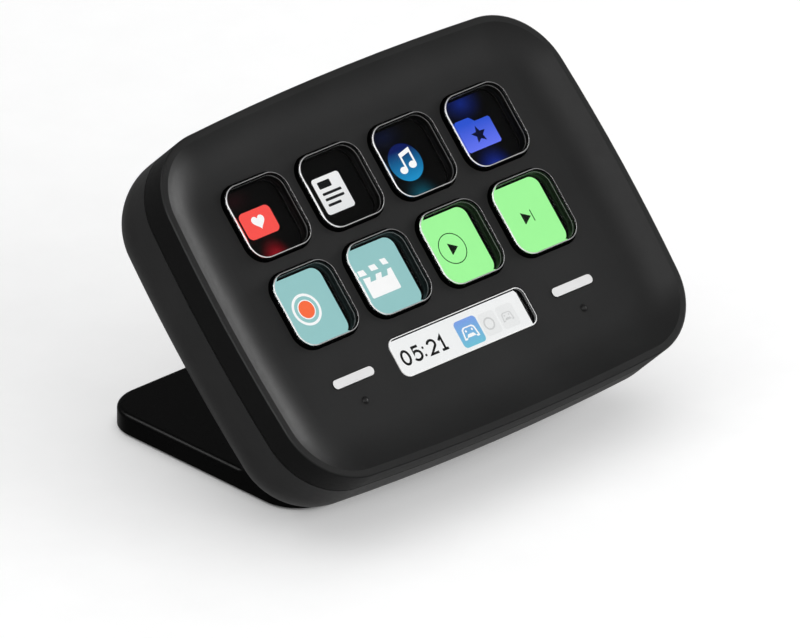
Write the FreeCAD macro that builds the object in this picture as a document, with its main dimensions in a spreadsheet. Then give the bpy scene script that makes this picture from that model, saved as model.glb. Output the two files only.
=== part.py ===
import FreeCAD, Part
import math
import os

import Sketcher

# Macro keypad: eight clear sprung keys over one display, in a dished two-piece case on a folded desk stand.
# Millimetres. World frame: +X right, +Y back, +Z up, origin on the desk at the middle of the stand's base.
# The case is drawn in its own face frame and then tilted: x right, y up the face, z out of the flat face.

doc = FreeCAD.newDocument("macro_keypad")
sheet = doc.addObject("Spreadsheet::Sheet", "sizes")

SIZES = {
    # Case outline: four slightly bowed sides and four corners, all tangent
    "overall_width": 107.0,
    "overall_height": 78.0,
    "corner_radius": 15.0,
    "long_side_radius": 680.0,
    "short_side_radius": 350.0,
    # Front cover: raised rim, concave slope, flat face
    "rim_height": 2.8,
    "rim_width": 1.5,
    "rim_edge_radius": 0.4,
    "slope_width": 9.0,
    "face_thickness": 1.6,
    "front_wall": 2.0,
    "seam_depth": 3.6,
    # Rear cover
    "seam_gap": 0.5,
    "seam_recess": 0.5,
    "back_depth": 23.2,
    "back_corner_radius": 1.2,
    "rear_wall": 2.2,
    "lip_thickness": 1.0,
    "lip_rise": 1.5,
    "lip_clearance": 0.2,
    # Where the tilted face stands
    "tilt": 46.0,
    "case_clearance": 3.54,
    # Keys
    "column_pitch_share": 0.1829,
    "row_pitch_share": 0.2509,
    "top_row_share": 0.2263,
    "key_spacing": 3.35,
    "cap_corner": 3.95,
    "cap_rise": 1.3,
    "cap_head": 0.8,
    "cap_clearance": 0.3,
    "cap_edge_radius": 0.35,
    "key_gap": 0.4,
    "key_travel": 1.1,
    "sleeve_wall": 0.5,
    "glue_gap": 0.05,
    "flange_reach": 1.25,
    "flange_thickness": 0.6,
    "seat_clearance": 0.05,
    "dome_wall": 1.1,
    "dome_pressed_height": 0.35,
    "circuit_window_gap": 0.3,
    # Information bar window, light bars and touch bumps
    "info_width_share": 0.3393,
    "info_height_share": 0.1077,
    "info_corner": 2.0,
    "info_drop_share": 0.2346,
    "window_rise": 0.1,
    "window_gap": 0.15,
    "window_flange": 1.1,
    "window_depth": 2.2,
    "bar_length_share": 0.0991,
    "bar_height": 1.9,
    "bar_corner": 0.9,
    "bar_offset_share": 0.2748,
    "bar_rise": 0.15,
    "bar_flange": 0.7,
    "bar_depth": 2.8,
    "bump_diameter": 1.3,
    "bump_rise": 0.3,
    "bump_drop_share": 0.2987,
    # Display stack
    "circuit_thickness": 0.2,
    "panel_side": 0.1,
    "panel_margin": 1.5,
    "panel_corner": 0.8,
    "glass_thickness": 1.1,
    "backlight_thickness": 1.9,
    "backlight_lip": 0.3,
    "plate_thickness": 0.8,
    "plate_corner": 3.0,
    "plate_wall_gap": 1.0,
    "led_length": 1.6,
    "led_width": 0.8,
    "led_height": 0.5,
    "led_spacing": 4.0,
    "electrode_length": 12.0,
    "electrode_width": 3.4,
    "electrode_thickness": 0.1,
    # Bosses and screws that hold the backing plate
    "plate_boss_radius": 2.3,
    "plate_boss_offset": 30.0,
    "plate_screw_radius": 0.95,
    "plate_screw_length": 4.6,
    "plate_head_radius": 1.8,
    "plate_head_height": 1.2,
    "thread_clearance": 0.05,
    # Case screws and their bosses
    "case_boss_radius": 2.8,
    "boss_key_gap": 0.4,
    "case_boss_share": 0.218,
    "case_seat_depth": 4.7,
    "case_screw_radius": 1.45,
    "case_screw_length": 10.0,
    "case_head_radius": 2.7,
    "case_head_height": 2.0,
    "case_seat": 1.5,
    "case_well_gap": 0.3,
    "case_well_wall": 1.1,
    "drive_share": 0.8,
    "drive_depth": 0.9,
    # Main board
    "standoff_height": 2.6,
    "standoff_radius": 2.2,
    "standoff_inset": 6.0,
    "board_side_gap": 3.8,
    "board_top_gap": 3.3,
    "board_drop": 19.5,
    "board_thickness": 1.2,
    "board_corner": 2.0,
    "board_screw_length": 3.4,
    "chip_height": 1.0,
    "processor_size": 10.0,
    "memory_length": 8.0,
    "memory_width": 6.0,
    "chip_spacing": 16.0,
    "flex_width": 22.0,
    "flex_thickness": 0.2,
    "flex_reach": 3.2,
    "flex_slot_gap": 1.0,
    "connector_length": 24.0,
    "connector_width": 4.0,
    "connector_height": 1.0,
    "connector_inset": 2.0,
    # Cable socket
    "socket_width": 8.9,
    "socket_height": 3.2,
    "socket_length": 7.4,
    "socket_wall": 0.3,
    "socket_corner": 1.5,
    "socket_overhang": 4.3,
    "socket_tongue": 0.7,
    "socket_tongue_width": 6.7,
    "socket_tongue_length": 5.6,
    "port_gap": 1.7,
    # Magnets, keepers and ballast
    "magnet_radius": 4.0,
    "magnet_thickness": 2.0,
    "magnet_offset": 22.0,
    "magnet_inset": 7.2,
    "magnet_tip_gap": 5.7,
    "magnet_skin": 1.0,
    "magnet_gap": 0.1,
    "magnet_ring_wall": 1.0,
    "ballast_side_gap": 2.8,
    "ballast_edge_gap": 1.2,
    "ballast_thickness": 2.0,
    "ballast_corner": 4.0,
    "ballast_hole_gap": 0.4,
    "keeper_thickness": 1.2,
    "locator_radius": 3.0,
    "locator_height": 1.2,
    "locator_gap": 0.2,
    "locator_offset": 10.0,
    # Stand
    "stand_width": 80.0,
    "stand_reach": 28.3,
    "stand_thickness": 4.2,
    "stand_corner": 8.5,
    "stand_edge_radius": 1.0,
    "leg_length": 43.0,
    "fold_radius": 3.0,
    "pad_thickness": 1.2,
    "pad_proud": 0.5,
    "pad_margin": 4.0,
    "pad_gap": 0.1,
    # One overrun for every cut
    "overrun": 1.0,
}

KEY_COLUMNS = 4
KEY_ROWS = 2
HALF = 0.5
CLOSE = 0.001
X_AXIS = FreeCAD.Vector(1, 0, 0)
Z_AXIS = FreeCAD.Vector(0, 0, 1)

for row, (alias, number) in enumerate(SIZES.items(), start=1):
    sheet.set("A%d" % row, alias)
    sheet.set("B%d" % row, str(number))
    sheet.setAlias("B%d" % row, alias)
doc.recompute()


def size(alias):
    """A driving dimension, read back from the sheet."""
    return float(sheet.get(alias))


def bound(text):
    """The expression with every size's name pointed at the sheet."""
    words = []
    for word in text.split():
        words.append("sizes." + word if word in SIZES else word)
    return " ".join(words)


def value(text):
    """The number that an expression in the sheet's names gives."""
    result = sheet.evalExpression(bound(text))
    return float(getattr(result, "Value", result))


# Places that several pieces share, as expressions in the sheet's names
FLANGE_TOP = "- face_thickness - seat_clearance"
FLANGE_BOTTOM = FLANGE_TOP + " - flange_thickness"
CAP_SHOULDER = "cap_rise - cap_head"
CIRCUIT_TOP = FLANGE_BOTTOM + " - key_travel - dome_pressed_height"
DISPLAY_TOP = CIRCUIT_TOP + " - circuit_thickness"
CAP_BOTTOM = DISPLAY_TOP + " + key_travel + cap_clearance"
GLASS_BOTTOM = DISPLAY_TOP + " - glass_thickness"
PLATE_TOP = GLASS_BOTTOM + " - backlight_thickness"
PLATE_BOTTOM = PLATE_TOP + " - plate_thickness"
BOARD_TOP = PLATE_BOTTOM + " - standoff_height"
BOARD_BOTTOM = BOARD_TOP + " - board_thickness"
CAVITY_FLOOR = "- back_depth + rear_wall"
MAGNET_BOTTOM = "- back_depth + magnet_skin"
CASE_SEAT = "- back_depth + case_seat_depth"
BOSS_END = CASE_SEAT + " + case_seat"
SOCKET_LEVEL = BOARD_BOTTOM + " - socket_height / 2"
FLAT_HALF = "( overall_height / 2 - corner_radius + back_corner_radius )"
INNER_HALF = "( overall_height / 2 - front_wall - lip_clearance - lip_thickness )"
WELL_RADIUS = "( case_head_radius + case_well_gap + case_well_wall )"
BACK_RISE = "( back_depth - corner_radius + back_corner_radius ) * cos( tilt )"
CASE_FOOT = "corner_radius - back_corner_radius + " + FLAT_HALF + " * sin( tilt ) + " + BACK_RISE
FACE_HEIGHT = "( case_clearance + " + CASE_FOOT + " )"
NOSE_TO_CENTRE = "( back_depth + ( pad_proud - " + FACE_HEIGHT + " ) * cos( tilt ) ) / sin( tilt )"
FACE_SETBACK = "( stand_reach + " + NOSE_TO_CENTRE + " )"
NOSE_RISE = "( pad_proud - " + FACE_HEIGHT + " + back_depth * cos( tilt ) ) / sin( tilt )"


def tilt_into_place(piece):
    """Carry a piece from the face frame to the world frame."""
    turn = FreeCAD.Rotation(X_AXIS, size("tilt"))
    spot = FreeCAD.Vector(0, -value(FACE_SETBACK), value(FACE_HEIGHT))
    piece.Placement = FreeCAD.Placement(spot, turn)
    piece.setExpression("Placement.Base.y", bound("- " + FACE_SETBACK))
    piece.setExpression("Placement.Base.z", bound(FACE_HEIGHT))
    piece.setExpression("Placement.Rotation.Angle", bound("tilt"))


def new_body(label, base=None):
    """A body of the document; a base shape, where it has one, is its first feature."""
    body = doc.addObject("PartDesign::Body", label)
    body.Label = label
    body.AllowCompound = True
    if base is not None:
        body.BaseFeature = base
        doc.recompute()
    return body


def origin_plane(body, role):
    return [part for part in body.Origin.OriginFeatures if part.Role == role][0]


def place_sketch(body, name, role, level):
    """An empty sketch on one of the body's own planes, shifted along its normal."""
    sketch = body.newObject("Sketcher::SketchObject", name)
    sketch.AttachmentSupport = [(origin_plane(body, role), "")]
    sketch.MapMode = "FlatFace"
    sketch.setExpression("AttachmentOffset.Base.z", bound(level))
    return sketch


def constrain(sketch, plain, followed):
    """Add the plain constraints, then those whose value follows an expression."""
    first = sketch.ConstraintCount + len(plain)
    sketch.addConstraint(plain + [constraint for constraint, text in followed])
    for i, (constraint, text) in enumerate(followed):
        sketch.setExpression("Constraints[%d]" % (first + i), bound(text))


def draw_polygon(sketch, corners):
    """A closed outline whose corners are pairs of expressions."""
    spots = [FreeCAD.Vector(value(x), value(y), 0) for x, y in corners]
    count = len(spots)
    first = sketch.GeometryCount
    for i in range(count):
        sketch.addGeometry(Part.LineSegment(spots[i], spots[(i + 1) % count]), False)
    plain = []
    followed = []
    for i, (x, y) in enumerate(corners):
        after = first + (i + 1) % count
        plain.append(Sketcher.Constraint("Coincident", first + i, 2, after, 1))
        followed.append((Sketcher.Constraint("DistanceX", -1, 1, first + i, 1, spots[i].x), x))
        followed.append((Sketcher.Constraint("DistanceY", -1, 1, first + i, 1, spots[i].y), y))
    constrain(sketch, plain, followed)


def draw_round_rectangle(sketch, width, height, radius, x="0", y="0"):
    """A rectangle with round corners, centred on the spot x, y."""
    right_x = value(x) + HALF * value(width)
    left_x = right_x - value(width)
    top_y = value(y) + HALF * value(height)
    low_y = top_y - value(height)
    r = value(radius)
    first = sketch.GeometryCount
    spots = [
        (left_x + r, low_y, right_x - r, low_y),
        (right_x, low_y + r, right_x, top_y - r),
        (right_x - r, top_y, left_x + r, top_y),
        (left_x, top_y - r, left_x, low_y + r),
    ]
    for x0, y0, x1, y1 in spots:
        line = Part.LineSegment(FreeCAD.Vector(x0, y0, 0), FreeCAD.Vector(x1, y1, 0))
        sketch.addGeometry(line, False)
    turn = HALF * math.pi
    centres = [
        (right_x - r, low_y + r, -turn),
        (right_x - r, top_y - r, 0),
        (left_x + r, top_y - r, turn),
        (left_x + r, low_y + r, turn + turn),
    ]
    for centre_x, centre_y, start in centres:
        circle = Part.Circle(FreeCAD.Vector(centre_x, centre_y, 0), Z_AXIS, r)
        sketch.addGeometry(Part.ArcOfCircle(circle, start, start + turn), False)
    plain = []
    for i in range(4):
        arc = first + 4 + i
        plain.append(Sketcher.Constraint("Tangent", first + i, 2, arc, 1))
        plain.append(Sketcher.Constraint("Tangent", arc, 2, first + (i + 1) % 4, 1))
        if i:
            plain.append(Sketcher.Constraint("Equal", first + 4, arc))
    bottom, right, top, left = range(first, first + 4)
    plain += [Sketcher.Constraint("Horizontal", flat) for flat in (bottom, top)]
    plain += [Sketcher.Constraint("Vertical", upright) for upright in (right, left)]
    across = x + " + " + halved(width)
    upward = y + " + " + halved(height)
    followed = [
        (Sketcher.Constraint("Radius", first + 4, r), radius),
        (Sketcher.Constraint("DistanceX", left, 1, right, 1, right_x - left_x), width),
        (Sketcher.Constraint("DistanceY", bottom, 1, top, 1, top_y - low_y), height),
        (Sketcher.Constraint("DistanceX", -1, 1, right, 1, right_x), across),
        (Sketcher.Constraint("DistanceY", -1, 1, top, 1, top_y), upward),
    ]
    constrain(sketch, plain, followed)


def draw_circle(sketch, radius, x, y):
    """A circle about a spot given by expressions."""
    spot = FreeCAD.Vector(value(x), value(y), 0)
    first = sketch.addGeometry(Part.Circle(spot, Z_AXIS, value(radius)), False)
    followed = [
        (Sketcher.Constraint("Radius", first, value(radius)), radius),
        (Sketcher.Constraint("DistanceX", -1, 1, first, 3, spot.x), x),
        (Sketcher.Constraint("DistanceY", -1, 1, first, 3, spot.y), y),
    ]
    constrain(sketch, [], followed)


def halved(text):
    return "( " + text + " ) / 2"


def raise_pad(body, sketch, name, length):
    """Grow the sketch along its normal."""
    pad = body.newObject("PartDesign::Pad", name)
    pad.Profile = sketch
    pad.setExpression("Length", bound(length))
    body.Tip = pad
    doc.recompute()
    return pad


def raise_both_ways(body, sketch, name, length):
    """Grow the sketch half to each side of its plane."""
    pad = raise_pad(body, sketch, name, length)
    pad.Midplane = True
    doc.recompute()
    return pad


def cut_pocket(body, sketch, name, depth=""):
    """Cut the sketch down from its plane, or right through where no depth is given."""
    before = body.Tip.Shape.Volume
    pocket = body.newObject("PartDesign::Pocket", name)
    pocket.Profile = sketch
    if depth:
        pocket.setExpression("Length", bound(depth))
    else:
        pocket.Type = "ThroughAll"
        pocket.Midplane = True
    body.Tip = pocket
    doc.recompute()
    if not pocket.Shape.Volume < before:
        raise RuntimeError(body.Label + ": " + name + " cuts nothing")
    return pocket


def plate(body, name, low, high, width, height, radius, spots):
    """Round-cornered plates of one size, one at each spot, from the level low to the level high."""
    sketch = place_sketch(body, name + "_sketch", "XY_Plane", low)
    for x, y in spots:
        draw_round_rectangle(sketch, width, height, radius, x, y)
    return raise_pad(body, sketch, name, high + " - ( " + low + " )")


def plate_cut(body, name, high, depth, width, height, radius, spots):
    """Round-cornered pockets, sunk from the level high by a depth, or right through."""
    sketch = place_sketch(body, name + "_sketch", "XY_Plane", high)
    for x, y in spots:
        draw_round_rectangle(sketch, width, height, radius, x, y)
    return cut_pocket(body, sketch, name, depth)


def disc(body, name, low, high, radius, spots):
    """Discs of one size, one at each spot, from the level low to the level high."""
    sketch = place_sketch(body, name + "_sketch", "XY_Plane", low)
    for x, y in spots:
        draw_circle(sketch, radius, x, y)
    return raise_pad(body, sketch, name, high + " - ( " + low + " )")


def disc_cut(body, name, high, depth, radius, spots):
    """Round holes, sunk from the level high by a depth, or right through."""
    sketch = place_sketch(body, name + "_sketch", "XY_Plane", high)
    for x, y in spots:
        draw_circle(sketch, radius, x, y)
    return cut_pocket(body, sketch, name, depth)


def round_edges(body, name, radius, wanted):
    """Fillet the edges of the body's last feature that the test picks."""
    base = body.Tip
    names = ["Edge%d" % (i + 1) for i, edge in enumerate(base.Shape.Edges) if wanted(edge)]
    fillet = body.newObject("PartDesign::Fillet", name)
    fillet.Base = (base, names)
    fillet.setExpression("Radius", bound(radius))
    body.Tip = fillet
    doc.recompute()
    return fillet


def level_edge(level):
    """A test for edges that lie flat at a level of the body's own frame."""

    def wanted(edge):
        box = edge.BoundBox
        return abs(box.ZMin - level) < CLOSE and abs(box.ZMax - level) < CLOSE

    return wanted


def negative(text):
    return "- ( " + text + " )"


def four_spots(x, y_high, y_low):
    """Centres of a mirrored set: high left and right, then low left and right."""
    return [(negative(x), y_high), (x, y_high), (negative(x), y_low), (x, y_low)]


# The case outline: where its eight tangent arcs have their centres

HALF_W = HALF * size("overall_width")
HALF_H = HALF * size("overall_height")
CORE_INSET = size("corner_radius") - size("back_corner_radius")


def corner_centre():
    """The centre of the upper right corner's arc, tangent inside a long and a short side."""
    long_r = size("long_side_radius")
    short_r = size("short_side_radius")
    corner_r = size("corner_radius")
    long_centre = FreeCAD.Vector(0, HALF_H - long_r, 0)
    short_centre = FreeCAD.Vector(HALF_W - short_r, 0, 0)
    to_long = long_r - corner_r
    to_short = short_r - corner_r
    between = short_centre - long_centre
    span = between.Length
    along = (to_long ** 2 - to_short ** 2 + span ** 2) / (2 * span)
    aside = math.sqrt(to_long ** 2 - along ** 2)
    unit = between / span
    across = FreeCAD.Vector(-unit.y, unit.x, 0)
    picks = [long_centre + unit * along + across * aside, long_centre + unit * along - across * aside]
    return max(picks, key=lambda spot: spot.x + spot.y)


def outline_arcs():
    """Centre, radius, start and end angle of the eight arcs, anticlockwise from the right side."""
    corner = corner_centre()
    long_r = size("long_side_radius")
    short_r = size("short_side_radius")
    corner_r = size("corner_radius")
    low = math.atan2(corner.y, corner.x - (HALF_W - short_r))
    high = math.atan2(corner.y - (HALF_H - long_r), corner.x)
    pi = math.pi
    return [
        (FreeCAD.Vector(HALF_W - short_r, 0, 0), short_r, -low, low),
        (corner, corner_r, low, high),
        (FreeCAD.Vector(0, HALF_H - long_r, 0), long_r, high, pi - high),
        (FreeCAD.Vector(-corner.x, corner.y, 0), corner_r, pi - high, pi - low),
        (FreeCAD.Vector(short_r - HALF_W, 0, 0), short_r, pi - low, pi + low),
        (FreeCAD.Vector(-corner.x, -corner.y, 0), corner_r, pi + low, pi + high),
        (FreeCAD.Vector(0, long_r - HALF_H, 0), long_r, pi + high, 2 * pi - high),
        (FreeCAD.Vector(corner.x, -corner.y, 0), corner_r, 2 * pi - high, 2 * pi - low),
    ]


def outline_face(inset, level):
    """The case outline, drawn in by an inset, as a flat face."""
    lift = FreeCAD.Vector(0, 0, level)
    edges = []
    for centre, radius, start, end in outline_arcs():
        circle = Part.Circle(centre + lift, Z_AXIS, radius - inset)
        edges.append(Part.ArcOfCircle(circle, start, end).toShape())
    return Part.Face(Part.Wire(edges))


def swept_solid(steps):
    """Carry a cross-section round the case outline and fill its middle.

    The section starts and ends on the core's inset. Each step is one (inset, level) point for a
    line, or a pair of them, middle and end, for an arc.
    """
    pieces = []
    for centre, radius, start, end in outline_arcs():
        ray = FreeCAD.Vector(math.cos(start), math.sin(start), 0)

        def at(point):
            return centre + ray * (radius - point[0]) + FreeCAD.Vector(0, 0, point[1])

        edges = []
        here = steps[0]
        for step in steps[1:]:
            if isinstance(step[0], tuple):
                edges.append(Part.Arc(at(here), at(step[0]), at(step[1])).toShape())
                here = step[1]
            else:
                edges.append(Part.LineSegment(at(here), at(step)).toShape())
                here = step
        edges.append(Part.LineSegment(at(here), at(steps[0])).toShape())
        section = Part.Face(Part.Wire(edges))
        pieces.append(section.revolve(centre, Z_AXIS, math.degrees(end - start)))
    low, high = sorted((steps[0][1], here[1]))
    pieces.append(outline_face(CORE_INSET, low).extrude(FreeCAD.Vector(0, 0, high - low)))
    return pieces[0].multiFuse(pieces[1:]).removeSplitter()


def blank(label, shape):
    """Hold a shape that only the swept outline can give."""
    piece = doc.addObject("Part::Feature", label)
    piece.Shape = shape
    return piece


def arc_middle(centre, radius, start, end):
    """The point halfway along an arc of a cross-section, angles in radians."""
    turn = HALF * (start + end)
    return (centre[0] + radius * math.cos(turn), centre[1] + radius * math.sin(turn))


# Where the repeated pieces stand on the face, as pairs of expressions

def grown(plan, change):
    """A width and a height, both changed by the same amount."""
    return tuple(side + " " + change for side in plan)


def half_way(one, other):
    return "( " + one + " + " + other + " ) / 2"


COLUMN_PITCH = "overall_width * column_pitch_share"
ROW_PITCH = "overall_height * row_pitch_share"
TOP_ROW = "overall_height * top_row_share"


def key_spot(row, column):
    """A key's centre on the face, rows from the top and columns from the left."""
    steps_right = column - HALF * (KEY_COLUMNS - 1)
    return ("%.1f * " % steps_right + COLUMN_PITCH, TOP_ROW + " - %d * " % row + ROW_PITCH)


KEYS = [(row, column) for row in range(KEY_ROWS) for column in range(KEY_COLUMNS)]
KEY_SPOTS = [key_spot(row, column) for row, column in KEYS]
LAST_COLUMN = KEY_SPOTS[-1][0]

CAP = (COLUMN_PITCH + " - key_spacing", ROW_PITCH + " - key_spacing")
BLOCK = grown(CAP, "- 2 * ( sleeve_wall + glue_gap )")
BLOCK_CORNER = "cap_corner - sleeve_wall - glue_gap"
KEY_WINDOW = grown(BLOCK, "+ 2 * circuit_window_gap")
KEY_WINDOW_CORNER = BLOCK_CORNER + " + circuit_window_gap"
FLANGE = grown(CAP, "+ 2 * flange_reach")
FLANGE_CORNER = "cap_corner + flange_reach"

CENTRE = ("0", "0")
INFO = ("overall_width * info_width_share", "overall_height * info_height_share")
INFO_LEVEL = "- overall_height * info_drop_share"
INFO_SPOT = ("0", INFO_LEVEL)
BAR = ("overall_width * bar_length_share", "bar_height")
BAR_PLACE = "overall_width * bar_offset_share"
BAR_SPOTS = [("- " + BAR_PLACE, INFO_LEVEL), (BAR_PLACE, INFO_LEVEL)]
BUMP_LEVEL = "- overall_height * bump_drop_share"
BUMP_SPOTS = [("- " + BAR_PLACE, BUMP_LEVEL), (BAR_PLACE, BUMP_LEVEL)]

PANEL_TOP = TOP_ROW + " + " + halved(KEY_WINDOW[1]) + " + dome_wall + panel_margin"
PANEL_LOW = INFO_LEVEL + " - " + halved(INFO[1]) + " - window_flange - panel_margin"
PANEL_HALF = LAST_COLUMN + " + " + halved(KEY_WINDOW[0]) + " + dome_wall + panel_side"
PANEL = ("2 * ( " + PANEL_HALF + " )", PANEL_TOP + " - ( " + PANEL_LOW + " )")
PANEL_SPOT = ("0", half_way(PANEL_TOP, PANEL_LOW))
PLATE_EDGE = INNER_HALF + " - plate_wall_gap"
PLATE_SCREW_HIGH = half_way(PANEL_TOP, PLATE_EDGE)
PLATE_SCREW_LOW = half_way(PANEL_LOW, negative(PLATE_EDGE))
PLATE_SCREW_SPOTS = four_spots("plate_boss_offset", PLATE_SCREW_HIGH, PLATE_SCREW_LOW)

CASE_BOSS_PLACE = LAST_COLUMN + " + " + halved(FLANGE[0]) + " + boss_key_gap + case_boss_radius"
CASE_BOSS_RISE = "overall_height * case_boss_share"
CASE_SCREW_SPOTS = four_spots(CASE_BOSS_PLACE, CASE_BOSS_RISE, negative(CASE_BOSS_RISE))
WELL_SIDE = CASE_BOSS_PLACE + " - " + WELL_RADIUS

BOARD_HALF = WELL_SIDE + " - board_side_gap"
BOARD_HIGH = INNER_HALF + " - board_top_gap"
BOARD = ("2 * ( " + BOARD_HALF + " )", BOARD_HIGH + " + board_drop")
BOARD_LEVEL = half_way(BOARD_HIGH, "- board_drop")
STANDOFF_HIGH = BOARD_HIGH + " - standoff_inset"
STANDOFF_SPOTS = four_spots(BOARD_HALF + " - standoff_inset", STANDOFF_HIGH, "standoff_inset - board_drop")
CONNECTOR_EDGE = "connector_inset - board_drop"
SOCKET_MOUTH = BOARD_HIGH + " + socket_overhang"
SOCKET_BACK = SOCKET_MOUTH + " - socket_length"

MAGNET_HIGH = NOSE_RISE + " + leg_length - magnet_tip_gap"
MAGNET_LOW = "magnet_inset - " + FLAT_HALF
MAGNET_SPOTS = four_spots("magnet_offset", MAGNET_HIGH, MAGNET_LOW)
LOCATOR_LEVEL = half_way(MAGNET_HIGH, MAGNET_LOW)
LOCATOR_SPOTS = [("- locator_offset", LOCATOR_LEVEL), ("locator_offset", LOCATOR_LEVEL)]


def front_cover():
    """Front shell: raised rim, concave slope, flat face with its openings, and the bosses behind."""
    rim = size("rim_height")
    rim_w = size("rim_width")
    slope = size("slope_width")
    dish_r = (slope ** 2 + rim ** 2) / (2 * rim)
    dish_centre = (rim_w + slope, dish_r)
    down = -HALF * math.pi
    dish_end = down - math.asin(slope / dish_r)
    edge_r = size("rim_edge_radius")
    edge_middle = arc_middle((edge_r, rim - edge_r), edge_r, HALF * math.pi, math.pi)
    steps = [
        (CORE_INSET, 0),
        (rim_w + slope, 0),
        (arc_middle(dish_centre, dish_r, down, dish_end), (rim_w, rim)),
        (edge_r, rim),
        (edge_middle, (0, rim - edge_r)),
        (0, -size("seam_depth")),
        (size("front_wall"), -size("seam_depth")),
        (size("front_wall"), -size("face_thickness")),
        (CORE_INSET, -size("face_thickness")),
    ]
    body = new_body("front_cover", blank("front_cover_blank", swept_solid(steps)))
    opening = grown(CAP, "+ 2 * key_gap")
    plate_cut(body, "key_openings", "0", "", *opening, "cap_corner + key_gap", KEY_SPOTS)
    window = grown(INFO, "+ 2 * window_gap")
    plate_cut(body, "info_opening", "0", "", *window, "info_corner + window_gap", [INFO_SPOT])
    slot = grown(BAR, "+ 2 * window_gap")
    plate_cut(body, "bar_openings", "0", "", *slot, "bar_corner + window_gap", BAR_SPOTS)
    disc(body, "case_bosses", BOSS_END, "- face_thickness", "case_boss_radius", CASE_SCREW_SPOTS)
    screw_tip = CASE_SEAT + " + case_screw_length + overrun"
    hole = "case_screw_radius + thread_clearance"
    disc_cut(body, "case_pilot_holes", screw_tip, "case_screw_length + overrun", hole, CASE_SCREW_SPOTS)
    disc(body, "plate_bosses", PLATE_TOP, "- face_thickness", "plate_boss_radius", PLATE_SCREW_SPOTS)
    pilot_top = PLATE_BOTTOM + " + plate_screw_length + seat_clearance"
    hole = "plate_screw_radius + thread_clearance"
    disc_cut(body, "plate_pilot_holes", pilot_top, "plate_screw_length", hole, PLATE_SCREW_SPOTS)
    touch_bumps(body)
    return body


def touch_bumps(body):
    """A small raised dot below each light bar."""
    radius = "( bump_diameter * bump_diameter / 4 + bump_rise * bump_rise ) / ( 2 * bump_rise )"
    for side, (x, y) in zip(("left", "right"), BUMP_SPOTS):
        bump = body.newObject("PartDesign::AdditiveSphere", "touch_bump_" + side)
        bump.AttachmentSupport = [(origin_plane(body, "XY_Plane"), "")]
        bump.MapMode = "FlatFace"
        bump.setExpression("Radius", bound(radius))
        bump.setExpression("AttachmentOffset.Base.x", bound(x))
        bump.setExpression("AttachmentOffset.Base.y", bound(y))
        bump.setExpression("AttachmentOffset.Base.z", bound("bump_rise - " + radius))
        body.Tip = bump
        doc.recompute()


def rear_cover():
    """Rear shell: upright wall, large back rounding, lip, screw wells, magnet pockets and cable port."""
    back = size("back_depth")
    wall = size("rear_wall")
    seam = size("seam_depth")
    shoulder = seam + size("seam_gap")
    floor = back - wall
    edge_centre = (CORE_INSET, CORE_INSET - back)
    down = -HALF * math.pi
    edge_middle = arc_middle(edge_centre, CORE_INSET, down, 2 * down)
    lip_outer = size("front_wall") + size("lip_clearance")
    lip_inner = lip_outer + size("lip_thickness")
    lip_top = size("lip_rise") - seam
    inner_r = CORE_INSET - wall
    lip_turn = 2 * down + math.asin(math.sqrt(1 - ((CORE_INSET - lip_inner) / inner_r) ** 2))
    lip_foot = edge_centre[1] - math.sqrt(inner_r ** 2 - (CORE_INSET - lip_inner) ** 2)
    steps = [
        (CORE_INSET, -back),
        (edge_middle, (0, edge_centre[1])),
        (0, -shoulder),
        (size("seam_recess"), -shoulder),
        (size("seam_recess"), -seam),
        (lip_outer, -seam),
        (lip_outer, lip_top),
        (lip_inner, lip_top),
        (lip_inner, lip_foot),
        (arc_middle(edge_centre, inner_r, lip_turn, down), (CORE_INSET, -floor)),
    ]
    body = new_body("rear_cover", blank("rear_cover_blank", swept_solid(steps)))
    well = "case_head_radius + case_well_gap"
    disc(body, "screw_wells", CAVITY_FLOOR + " - seat_clearance", BOSS_END, WELL_RADIUS, CASE_SCREW_SPOTS)
    disc_cut(body, "screw_counterbores", CASE_SEAT, "back_depth", well, CASE_SCREW_SPOTS)
    hole = "case_screw_radius + thread_clearance"
    disc_cut(body, "screw_holes", BOSS_END, "back_depth", hole, CASE_SCREW_SPOTS)
    ring = "magnet_radius + magnet_gap + magnet_ring_wall"
    ring_top = MAGNET_BOTTOM + " + magnet_thickness"
    disc(body, "magnet_rings", CAVITY_FLOOR, ring_top, ring, MAGNET_SPOTS)
    disc_cut(body, "magnet_pockets", ring_top, "magnet_thickness", "magnet_radius + magnet_gap",
             MAGNET_SPOTS)
    recess_top = "- back_depth + locator_height + locator_gap"
    disc_cut(body, "locator_recesses", recess_top, "locator_height + overrun",
             "locator_radius + locator_gap", LOCATOR_SPOTS)
    port = place_sketch(body, "cable_port_sketch", "XZ_Plane", negative(SOCKET_BACK))
    draw_round_rectangle(port, "socket_width + 2 * port_gap", "socket_height + 2 * port_gap",
                         "socket_corner + port_gap", "0", SOCKET_LEVEL)
    cut_pocket(body, port, "cable_port", "overall_height / 2")
    return body


def info_window():
    """Clear window over the information bar, with a flange behind the face."""
    body = new_body("infobar_window")
    low = "- window_depth"
    flange = grown(INFO, "+ 2 * window_flange")
    plate(body, "flange", low, FLANGE_TOP, *flange, "info_corner", [INFO_SPOT])
    plate(body, "window", low, "window_rise", *INFO, "info_corner", [INFO_SPOT])
    return body


def light_bar(side, spot):
    """Diffusing light guide of one touch point, with a flange behind the face."""
    body = new_body("light_bar_" + side)
    low = "- bar_depth"
    flange = grown(BAR, "+ 2 * bar_flange")
    plate(body, "flange", low, FLANGE_TOP, *flange, "bar_corner", [spot])
    plate(body, "bar", low, "bar_rise", *BAR, "bar_corner", [spot])
    return body


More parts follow.
